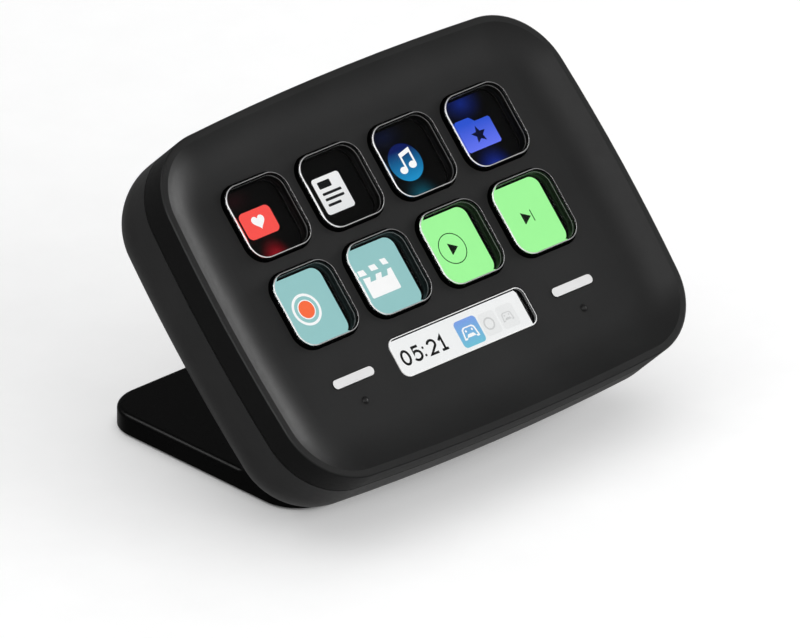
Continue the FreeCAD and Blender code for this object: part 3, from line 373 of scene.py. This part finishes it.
LOOKS = {
    "front_cover": case_black,
    "rear_cover": rear_black,
    "infobar_window": clear_plastic,
    "light_bar_left": diffuser,
    "light_bar_right": diffuser,
    "key_circuit": film,
    "touch_leds": lamp,
    "touch_electrodes": foil,
    "display_glass": glass_black,
    "display_backlight": tray_white,
    "display_flex": ribbon,
    "flex_connector": connector,
    "backing_plate": steel,
    "plate_screws": steel,
    "board_standoffs": brass,
    "main_board": laminate,
    "board_screws": steel,
    "board_chips": chip,
    "cable_socket": socket_metal,
    "stand_magnets": magnet,
    "ballast_plate": steel,
    "case_screws": steel,
    "stand_keepers": steel,
    "stand_frame": stand_black,
    "base_pad": pad_rubber,
}
KEY_LOOKS = {"keycap": clear_plastic, "key_sleeve": sleeve_black, "key_dome": silicone}
for name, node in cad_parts.items():
    node.data.materials.clear()
    node.data.materials.append(LOOKS.get(name) or KEY_LOOKS[name[:-len("_1_1")]])


# Shapes in the face frame

def face_object(name, bm, materials, body):
    """An object in the face frame whose mesh is in metres, riding on a body."""
    mesh = bpy.data.meshes.new(name)
    bm.to_mesh(mesh)
    bm.free()
    for material in materials:
        mesh.materials.append(material)
    obj = bpy.data.objects.new(name, mesh)
    bpy.context.scene.collection.objects.link(obj)
    obj.matrix_world = FACE
    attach(obj, body)
    return obj


def round_rectangle(u, v, width, height, radius, steps=10):
    """Points of a round-cornered rectangle, anticlockwise."""
    points = []
    for quarter in range(4):
        turn = 0.5 * math.pi * quarter
        centre_u = u + (0.5 * width - radius) * (1 if quarter in (0, 3) else -1)
        centre_v = v + (0.5 * height - radius) * (1 if quarter in (0, 1) else -1)
        for i in range(steps + 1):
            angle = turn + 0.5 * math.pi * i / steps
            points.append((centre_u + radius * math.cos(angle),
                           centre_v + radius * math.sin(angle)))
    return points


def arc(u, v, radius_u, radius_v, start, end, steps=24):
    """Points along part of an ellipse, angles in degrees."""
    points = []
    for i in range(steps + 1):
        angle = math.radians(start + (end - start) * i / steps)
        points.append((u + radius_u * math.cos(angle), v + radius_v * math.sin(angle)))
    return points


def ellipse(u, v, radius_u, radius_v, steps=40):
    return arc(u, v, radius_u, radius_v, 0, 360, steps)[:-1]


def circle(u, v, radius, steps=64):
    return ellipse(u, v, radius, radius, steps)


def shifted(points, u, v):
    return [(x + u, y + v) for x, y in points]


def thick_line(points, width):
    """The outline of an evenly wide line through the points: mitred corners, square ends."""
    ways = [(Vector(b) - Vector(a)).normalized() for a, b in zip(points[:-1], points[1:])]
    left, right = [], []
    for i, point in enumerate(points):
        before, after = ways[max(i - 1, 0)], ways[min(i, len(ways) - 1)]
        along = (before + after).normalized()
        reach = 0.5 * width / max(along.dot(after), 0.4)
        side = Vector((-along.y, along.x)) * reach
        left.append(tuple(Vector(point) + side))
        right.append(tuple(Vector(point) - side))
    return left + list(reversed(right))


def add_plate(bm, points, holes, low, high, index):
    """A thin solid of a closed outline with holes, between two levels."""
    scratch = bmesh.new()
    edges = []
    for outline in (points, *holes):
        corners = [scratch.verts.new((x * MM, y * MM, high * MM)) for x, y in outline]
        edges += [scratch.edges.new((corners[i - 1], corners[i])) for i in range(len(corners))]
    filled = bmesh.ops.triangle_fill(scratch, use_beauty=True, use_dissolve=False, edges=edges)
    faces = [item for item in filled["geom"] if isinstance(item, bmesh.types.BMFace)]
    grown = bmesh.ops.extrude_face_region(scratch, geom=faces)
    moved = [item for item in grown["geom"] if isinstance(item, bmesh.types.BMVert)]
    bmesh.ops.translate(scratch, vec=(0, 0, (low - high) * MM), verts=moved)
    bmesh.ops.recalc_face_normals(scratch, faces=scratch.faces)
    for face in scratch.faces:
        face.material_index = index
    mesh = bpy.data.meshes.new("plate_scratch")
    scratch.to_mesh(mesh)
    scratch.free()
    bm.from_mesh(mesh)
    bpy.data.meshes.remove(mesh)


# Clear blocks: clear top and bottom, black side walls, and thin painted highlight bands where
# the real blocks catch the light

wall_black = smooth("block_wall", grey(0.0015), grey(0.0025), (0.4, 0.5))
set_inputs(wall_black, Specular_IOR_Level=0.02)
frame_black = smooth("window_wall", grey(0.0005), grey(0.001), (0.05, 0.09))
set_inputs(frame_black, Specular_IOR_Level=0.25)
# Painted highlight: each key's rounded top edge is coloured light grey, lighter on the left where
# the light catches it and darker towards the right.
key_edge_highlight = smooth("key_edge_painted_highlight", grey(0.70), grey(0.76), (0.3, 0.4))
paint_shade_away(key_edge_highlight, grey(0.22), Vector((-0.99, -0.14, 0.0)), 0.0, 0.6)
# Painted highlight: a band low on each key's stem glows faintly white, though nothing lights it,
# to draw a thin grey inner line.
inner_glow = smooth("key_inner_painted_glow", grey(0.02), grey(0.03), (0.4, 0.5))
set_inputs(inner_glow, Emission_Color=(1.0, 1.0, 1.0, 1.0), Emission_Strength=0.30)
# Painted highlight: the info window's rounded top edge is coloured light grey.
window_edge_highlight = smooth("window_edge_painted_highlight", grey(0.66), grey(0.72), (0.3, 0.4))

# Look indices: clear, black wall, painted highlight on the top edge, painted glow on the stem.
CLEAR, WALL, EDGE_HIGHLIGHT, INNER_GLOW = range(4)
EDGE_STEPS = 8
CORNER_STEPS = 14


def clear_block(name, u, v, walls, top, edge, looks, highlight_rings, body, node):
    """A clear block that stands for its CAD solid.

    walls: (level, half width, half height, corner radius) each, low to high.
    edge: radius of the rounding from the last of them to the top.
    highlight_rings: rings of faces drawn with a painted highlight look, counted from the bottom.
    """
    levels = list(walls)
    _, half_u, half_v, radius = walls[-1]
    for i in range(EDGE_STEPS + 1):
        angle = 0.5 * math.pi * i / EDGE_STEPS
        inset = edge * (1 - math.cos(angle))
        level = top - edge * (1 - math.sin(angle))
        levels.append((level, half_u - inset, half_v - inset, radius - inset))
    bm = bmesh.new()
    rings = []
    for level, half_u, half_v, radius in levels:
        points = round_rectangle(u, v, 2 * half_u, 2 * half_v, radius, CORNER_STEPS)
        rings.append([bm.verts.new((x * MM, y * MM, level * MM)) for x, y in points])
    for k, (lower, upper) in enumerate(zip(rings[:-1], rings[1:])):
        for i in range(len(lower)):
            face = bm.faces.new((lower[i - 1], lower[i], upper[i], upper[i - 1]))
            face.material_index = highlight_rings.get(k, WALL if k < len(walls) else CLEAR)
            face.smooth = k >= len(walls)
    bm.faces.new(list(reversed(rings[0])))
    bm.faces.new(rings[-1])
    bmesh.ops.recalc_face_normals(bm, faces=bm.faces)
    block = face_object(name, bm, looks, body)
    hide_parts(node)


STEM_HALF = 7.56
STEM_CORNER = 3.4
SHOULDER = 0.5
CAP_HALF = 8.11
CAP_CORNER = 3.95
KEY_EDGE = 0.55
# Levels of the stem band that glows as a painted highlight.
INNER_GLOW_LEVELS = (-0.58, -0.44)
# Rings of the rounded top edge drawn as a painted highlight.
EDGE_HIGHLIGHT_STEPS = (4, 5)

stem = [(level, STEM_HALF, STEM_HALF, STEM_CORNER)
        for level in (CAP_BOTTOM, *INNER_GLOW_LEVELS, SHOULDER)]
stem.append((SHOULDER, CAP_HALF, CAP_HALF, CAP_CORNER))
key_painted_rings = {1: INNER_GLOW}
key_painted_rings.update({len(stem) + i: EDGE_HIGHLIGHT for i in EDGE_HIGHLIGHT_STEPS})
for row in range(KEY_ROWS):
    for column in range(KEY_COLUMNS):
        u, v = key_centre(row, column)
        key = "%d_%d" % (row + 1, column + 1)
        clear_block("key_block_" + key, u, v, stem, CAP_TOP, KEY_EDGE,
                    [clear_plastic, wall_black, key_edge_highlight, inner_glow], key_painted_rings,
                    "key_" + key, "keycap_" + key)

INFO_HALF_U = 18.15
INFO_HALF_V = 4.2
INFO_CORNER = 2.0
INFO_EDGE = 0.24
FLANGE = 1.1
FLANGE_TOP = -1.6

window = [(level, INFO_HALF_U + FLANGE, INFO_HALF_V + FLANGE, INFO_CORNER)
          for level in (WINDOW_BOTTOM, FLANGE_TOP)]
window.append((FLANGE_TOP, INFO_HALF_U, INFO_HALF_V, INFO_CORNER))
# The info window's rounded top edge is drawn as a painted highlight.
window_painted_rings = {len(window) + i: EDGE_HIGHLIGHT for i in range(EDGE_STEPS)}
clear_block("infobar_block", 0.0, INFO_V, window, WINDOW_TOP, INFO_EDGE,
            [clear_plastic, frame_black, window_edge_highlight], window_painted_rings, "case", "infobar_window")


# Screen pictures: their numbers are millimetres from each picture's centre u, v

PICTURE_LOW = DISPLAY_TOP + 0.01
PICTURE_HIGH = DISPLAY_TOP + 0.03
LAYER = 0.02
TILE = 14.7
TILE_CORNER = 2.2
PICTURE_SHIFT = -0.3
TEAL = "#98CACA"
GREEN = "#A5FF9F"
WHITE = "#FFFFFF"
NEAR_BLACK = "#010101"


def picture_centre(row, column):
    """Centre of the panel area under a key."""
    u, v = key_centre(row, column)
    return u + PICTURE_SHIFT, v


def picture(name, layers):
    """A stack of flat lit shapes: (outline points, holes, material, layer number) each."""
    bm = bmesh.new()
    materials = []
    for points, holes, material, layer in layers:
        if material not in materials:
            materials.append(material)
        low = PICTURE_LOW if layer == 0 else PICTURE_HIGH + (layer - 1) * LAYER
        high = PICTURE_HIGH + layer * LAYER
        add_plate(bm, points, holes, low, high, materials.index(material))
    face_object(name, bm, materials, "case")


def tile(u, v, look):
    """The whole area under a key, in one look."""
    return (round_rectangle(u, v, TILE, TILE, TILE_CORNER, 12), (), look, 0)


def dark_tile(u, v, glows=()):
    """A black area with soft spots: (right, up, half width, half height, colour) each."""
    spots = tuple((u + du, v + dv, su, sv, code) for du, dv, su, sv, code in glows)
    return tile(u, v, lit(NEAR_BLACK, glow=spots))


def heart(u, v, size, steps=48):
    """A heart outline, from the usual curve in sines and cosines."""
    points = []
    for i in range(steps):
        t = 2 * math.pi * i / steps
        x = 16 * math.sin(t) ** 3
        y = 13 * math.cos(t) - 5 * math.cos(2 * t) - 2 * math.cos(3 * t) - math.cos(4 * t)
        points.append((u + size * x / 32, v + size * (y + 2.5) / 32))
    return points


def star(u, v, radius):
    """A five-pointed star."""
    points = []
    for i in range(10):
        reach = radius if i % 2 == 0 else 0.45 * radius
        angle = math.radians(90 + 36 * i)
        points.append((u + reach * math.cos(angle), v + reach * math.sin(angle)))
    return points


u, v = picture_centre(0, 0)
CORAL = lit("#FF5650")
picture("picture_favourite", [
    dark_tile(u, v, [(0.0, -8.2, 4.2, 5.2, "#B01022"), (-3.0, 5.5, 6.0, 3.0, "#1C0508")]),
    (round_rectangle(u, v - 0.1, 8.1, 5.8, 1.2), (), CORAL, 1),
    (heart(u, v - 0.1, 3.2), (), lit(WHITE), 2),
])

u, v = picture_centre(0, 1)
BAR = lit("#101214")
picture("picture_note", [
    dark_tile(u, v),
    (round_rectangle(u + 0.05, v - 0.3, 7.2, 7.8, 0.7), (),
     lit("#F4F4F4", "#E2E4E5", (9.0, 22.0)), 1),
    (round_rectangle(u - 0.85, v + 1.95, 3.2, 1.5, 0.2), (), BAR, 2),
    (round_rectangle(u, v + 0.05, 4.9, 0.55, 0.2), (), BAR, 2),
    (round_rectangle(u, v - 1.15, 4.9, 0.55, 0.2), (), BAR, 2),
    (round_rectangle(u - 0.75, v - 2.35, 3.4, 0.55, 0.2), (), BAR, 2),
])

u, v = picture_centre(0, 2)
BEAMS = [(-0.75, -1.6), (-0.3, -1.6), (-0.3, 1.0), (1.85, 1.5), (1.85, -1.1), (2.3, -1.1),
         (2.3, 2.5), (-0.75, 1.8)]
picture("picture_music", [
    dark_tile(u, v, [(0.0, -8.0, 5.0, 5.0, "#0E5F74"), (-2.0, 6.0, 6.5, 4.0, "#060E2A")]),
    (circle(u, v - 0.2, 4.0), (), lit("#08185A", "#1E93CC", (v - 4.2, v + 2.6)), 1),
    (ellipse(u - 1.25, v - 1.6, 0.95, 0.75), (), lit(WHITE), 2),
    (ellipse(u + 1.35, v - 1.1, 0.95, 0.75), (), lit(WHITE), 2),
    (shifted(BEAMS, u, v), (), lit(WHITE), 3),
])

u, v = picture_centre(0, 3)
FOLDER = [(-4.35, -3.2), (-4.05, -3.55), (4.0, -3.55), (4.35, -3.2), (4.35, 1.8), (4.0, 2.15),
          (0.6, 2.15), (-0.5, 3.25), (-4.0, 3.25), (-4.35, 2.9)]
picture("picture_folder", [
    dark_tile(u, v, [(0.0, -8.0, 5.2, 5.4, "#1430A0"), (-0.5, 6.4, 6.0, 4.6, "#0E2478")]),
    (shifted(FOLDER, u, v), (), lit("#2E55D4", "#6878F8", (v - 3.6, v + 2.2)), 1),
    (star(u, v - 0.7, 1.9), (), lit("#070C30"), 2),
])

u, v = picture_centre(1, 0)
picture("picture_record", [
    tile(u, v, lit(TEAL)),
    (circle(u, v, 3.37), (circle(u, v, 2.82),), lit(WHITE), 1),
    (circle(u, v, 2.07), (), lit(WHITE), 1),
    (circle(u, v, 1.84), (), lit("#FF7043"), 2),
])

u, v = picture_centre(1, 1)
BOARD_TEETH = [
    [(-3.75, -0.2), (-2.5, -0.2), (-1.9, 1.1), (-3.75, 1.25)],
    [(-1.0, -0.2), (0.5, -0.2), (1.1, 1.2), (-0.4, 1.2)],
    [(2.1, -0.2), (3.75, -0.2), (3.75, 1.3), (2.7, 1.25)],
]
STICK_TEETH = [
    [(-4.15, 1.8), (-2.3, 1.7), (-2.6, 2.9), (-4.15, 3.0)],
    [(-0.9, 2.05), (0.9, 1.95), (0.55, 3.15), (-1.1, 3.25)],
    [(2.35, 2.35), (3.8, 2.2), (3.5, 3.5), (2.1, 3.6)],
]
picture("picture_clapper", [
    tile(u, v, lit(TEAL)),
    (round_rectangle(u, v - 1.55, 7.5, 3.3, 0.35), (), lit(WHITE), 1),
    *[(shifted(tooth, u, v), (), lit(WHITE), 2) for tooth in BOARD_TEETH],
    *[(shifted(tooth, u, v), (), lit(WHITE), 1) for tooth in STICK_TEETH],
])

DARK = lit("#10180F")
TRIANGLE = [(-0.7, -1.3), (1.42, 0.0), (-0.7, 1.3)]
u, v = picture_centre(1, 2)
picture("picture_play", [
    tile(u, v, lit(GREEN)),
    (circle(u, v, 3.3), (circle(u, v, 3.1),), lit("#12401A"), 1),
    (shifted(TRIANGLE, u, v), (), DARK, 1),
])

u, v = picture_centre(1, 3)
picture("picture_next", [
    tile(u, v, lit(GREEN)),
    (shifted(TRIANGLE, u + 0.12, v), (), DARK, 1),
    (round_rectangle(u + 1.95, v, 0.22, 2.45, 0.05), (), lit("#1E5424"), 1),
])


# Information bar: time, one bright tile and two faint ones

PAPER = lit("#F6F7F7")
INK = lit("#0C0C0C")
STROKE = 0.54
DIGIT = 2.8
DIGIT_WIDTH = 1.88
TIME_U = -14.2
TIME_V = INFO_V + 0.08 - 0.5 * DIGIT
FIGURES = (("0", 0.0), ("5", 2.96), ("2", 7.05), ("1", 9.92))
COLON_U = 5.71
COLON_HEIGHTS = (0.35, 2.0)
COLON_RADIUS = 0.26


def digit_shapes(figure, u, v):
    """A figure's outlines, each with its holes, its lower left corner at u, v."""
    w, h = DIGIT_WIDTH, DIGIT
    if figure == "0":
        outer, inner = (ellipse(u + 0.5 * w, v + 0.5 * h, 0.5 * (w + way * STROKE),
                                0.5 * (h + way * STROKE)) for way in (1, -1))
        return [(outer, (inner,))]
    if figure == "1":
        lines = [[(u + 0.15, v + h - 0.75), (u + 0.85, v + h), (u + 0.85, v)],
                 [(u, v), (u + 1.6, v)]]
    elif figure == "2":
        bowl = arc(u + 0.5 * w, v + h - 0.85, 0.5 * w, 0.85, 165, -40, 24)
        lines = [bowl + [(u + 0.05, v), (u + w, v)]]
    else:
        bowl = arc(u + 0.45 * w, v + 0.95, 0.55 * w, 0.95, 128, -150, 28)
        lines = [[(u + w - 0.15, v + h), (u + 0.3, v + h), (u + 0.18, v + 1.6)] + bowl]
    return [(thick_line(line, STROKE), ()) for line in lines]


PAD_SHAPE = [(-2.0, -1.35), (-1.35, -1.4), (-0.85, -0.5), (0.85, -0.5), (1.35, -1.4),
             (2.0, -1.35), (1.65, 0.85), (1.1, 1.25), (-1.1, 1.25), (-1.65, 0.85)]


def pad_layers(u, v, size, material):
    """A game pad: its outline and two buttons."""
    outer = [(u + size * x, v + size * y) for x, y in PAD_SHAPE]
    inner = [(u + 0.8 * size * x, v + size * (0.76 * y + 0.03)) for x, y in PAD_SHAPE]
    buttons = [(circle(u + side * 0.8 * size, v + 0.35 * size, 0.24 * size, 16), (), material, 2)
               for side in (-1, 1)]
    return [(outer, (inner,), material, 2), *buttons]


layers = [(round_rectangle(0.2, INFO_V - 0.3, 36.8, 8.9, 0.3), (), PAPER, 0)]
for figure, offset in FIGURES:
    for outline, holes in digit_shapes(figure, TIME_U + offset, TIME_V):
        layers.append((outline, holes, INK, 1))
for height in COLON_HEIGHTS:
    dot = circle(TIME_U + COLON_U, TIME_V + height, COLON_RADIUS, 20)
    layers.append((dot, (), INK, 1))
tile_u, tile_v = 3.75, INFO_V - 0.05
BLUE = lit("#7FA4EA", "#74C4DA", (tile_v - 2.8, tile_v + 2.8))
layers.append((round_rectangle(tile_u, tile_v, 5.8, 5.75, 0.9), (), BLUE, 1))
layers += pad_layers(tile_u, tile_v, 1.0, lit(WHITE))
FAINT = lit("#D2D3D3")
for spot, width in ((9.2, 4.2), (14.0, 4.4)):
    layers.append((round_rectangle(spot, tile_v, width, 4.9, 0.8), (), lit("#EEEFEF"), 1))
layers.append((circle(9.0, tile_v, 1.35), (circle(9.0, tile_v, 1.0),), FAINT, 2))
layers += pad_layers(13.8, tile_v, 0.72, FAINT)
picture("picture_infobar", layers)


# Stage: the floor, which gives off a little light of its own to soften the shadow

FLOOR_HALF = 3.0
FLOOR_CELLS = 24
PAPER_GLOW = 0.33
SHADE_REACH = 0.005

floor_paper = moulded("floor_paper", grey(0.57), grey(0.59), (0.6, 0.7), 800.0, 1e-5, 0.1)
set_inputs(floor_paper, Emission_Color=(1.0, 1.0, 1.0, 1.0))
floor_tree = floor_paper.node_tree
open_sky = floor_tree.nodes.new("ShaderNodeAmbientOcclusion")
open_sky.samples = 4
open_sky.inputs["Distance"].default_value = SHADE_REACH
own_light = spread(floor_tree, open_sky.outputs["AO"], 0.0, PAPER_GLOW, 0.0, 0.7)
floor_tree.links.new(own_light, shader_of(floor_paper).inputs["Emission Strength"])

bm = bmesh.new()
bmesh.ops.create_grid(bm, x_segments=FLOOR_CELLS, y_segments=FLOOR_CELLS, size=FLOOR_HALF)
floor_mesh = bpy.data.meshes.new("floor")
bm.to_mesh(floor_mesh)
bm.free()
floor_mesh.materials.append(floor_paper)
floor = bpy.data.objects.new("floor", floor_mesh)
bpy.context.scene.collection.objects.link(floor)
floor.location.z = cad_low.z
floor.visible_glossy = False


# Lights: lamps that only light and cards that are only reflected.
# (name, direction, distance, width, height, radiance, reflected) each

LIGHTS = (
    ("lamp_top", (0.0, 0.1, 1.0), 1.0, 2.0, 2.0, 0.95, False),
    ("lamp_front", (0.25, -1.0, 0.42), 1.4, 1.8, 1.0, 3.1, False),
    ("card_right", (0.97, -0.04, 0.14), 1.0, 1.1, 0.34, 3.9, True),
    ("card_front", (-0.15, -0.60, 0.78), 1.0, 0.5, 0.4, 1.7, True),
    ("card_left", (-0.78, -0.35, 0.52), 1.0, 0.45, 0.4, 4.0, True),
    ("card_back", (-0.45, 0.65, 0.6), 1.0, 0.5, 0.4, 1.9, True),
)
for name, direction, distance, width, height, radiance, reflected in LIGHTS:
    data = bpy.data.lights.new(name, "AREA")
    data.shape = "RECTANGLE"
    data.size = width
    data.size_y = height
    data.energy = radiance * math.pi * width * height
    lamp_object = bpy.data.objects.new(name, data)
    bpy.context.scene.collection.objects.link(lamp_object)
    lamp_object.location = FACE_CENTRE + Vector(direction).normalized() * distance
    lamp_object.rotation_euler = (-Vector(direction)).to_track_quat("-Z", "Y").to_euler()
    lamp_object.visible_camera = False
    lamp_object.visible_glossy = reflected
    lamp_object.visible_transmission = reflected
    lamp_object.visible_diffuse = not reflected


# World: a dim surround for reflections, brighter from below, with its own strength for
# diffuse light and a white backdrop

SURROUND = 0.04
UNDERSIDE = 0.22
UNDERSIDE_WAY = Vector((0.615, 0.469, -0.634))
UNDERSIDE_SPAN = (0.5, 0.95)
FILL = 0.48
BACKDROP = 1.0

world = bpy.data.worlds.new("studio")
bpy.context.scene.world = world
world.use_nodes = True
sky = world.node_tree
background = sky.nodes["Background"]
background.inputs["Color"].default_value = (1.0, 1.0, 1.0, 1.0)
ray = sky.nodes.new("ShaderNodeLightPath")
way = sky.nodes.new("ShaderNodeTexCoord").outputs["Generated"]
toward = operate(sky, "ShaderNodeVectorMath", "DOT_PRODUCT", way, UNDERSIDE_WAY)["Value"]
strength = spread(sky, toward, SURROUND, UNDERSIDE, *UNDERSIDE_SPAN)
for kind, brightness in (("Is Diffuse Ray", FILL), ("Is Camera Ray", BACKDROP)):
    choice = sky.nodes.new("ShaderNodeMix")
    choice.inputs["B"].default_value = brightness
    sky.links.new(ray.outputs[kind], choice.inputs["Factor"])
    sky.links.new(strength, choice.inputs["A"])
    strength = choice.outputs["Result"]
sky.links.new(strength, background.inputs["Strength"])
bpy.context.scene.view_settings.view_transform = "Standard"


# Camera, from the photograph's own perspective

AZIMUTH = math.radians(-43.452)
ELEVATION = math.radians(26.562)
ROLL = math.radians(0.163)
IMAGE_WIDTH = 800.0
IMAGE_HEIGHT = 638.0
FOCAL_PIXELS = 24000.0
PIXELS_PER_MM = 5.12236
SENSOR = 36.0
AIM_PIXEL = (417.47, 248.363)
AIM_UP_FACE = 0.392
AIM = FACE_CENTRE + AIM_UP_FACE * MM * Vector((0.0, math.cos(TILT), math.sin(TILT)))

forward = Vector((-math.sin(AZIMUTH) * math.cos(ELEVATION),
                  math.cos(AZIMUTH) * math.cos(ELEVATION), -math.sin(ELEVATION)))
level_right = Vector((math.cos(AZIMUTH), math.sin(AZIMUTH), 0.0))
level_up = level_right.cross(forward)
right = math.cos(ROLL) * level_right + math.sin(ROLL) * level_up
up = math.cos(ROLL) * level_up - math.sin(ROLL) * level_right
away = FOCAL_PIXELS / PIXELS_PER_MM * MM
aside = (AIM_PIXEL[0] - 0.5 * IMAGE_WIDTH) / PIXELS_PER_MM * MM
above = -(AIM_PIXEL[1] - 0.5 * IMAGE_HEIGHT) / PIXELS_PER_MM * MM

camera_data = bpy.data.cameras.new("camera")
camera_data.sensor_width = SENSOR
camera_data.lens = FOCAL_PIXELS / IMAGE_WIDTH * SENSOR
camera_data.clip_start = 0.5
camera_data.clip_end = 30.0
camera = bpy.data.objects.new("camera", camera_data)
bpy.context.scene.collection.objects.link(camera)
turn = Matrix((right, up, -forward)).transposed().to_4x4()
place = AIM - forward * away - right * aside - up * above
camera.matrix_world = Matrix.Translation(place) @ turn
bpy.context.scene.camera = camera
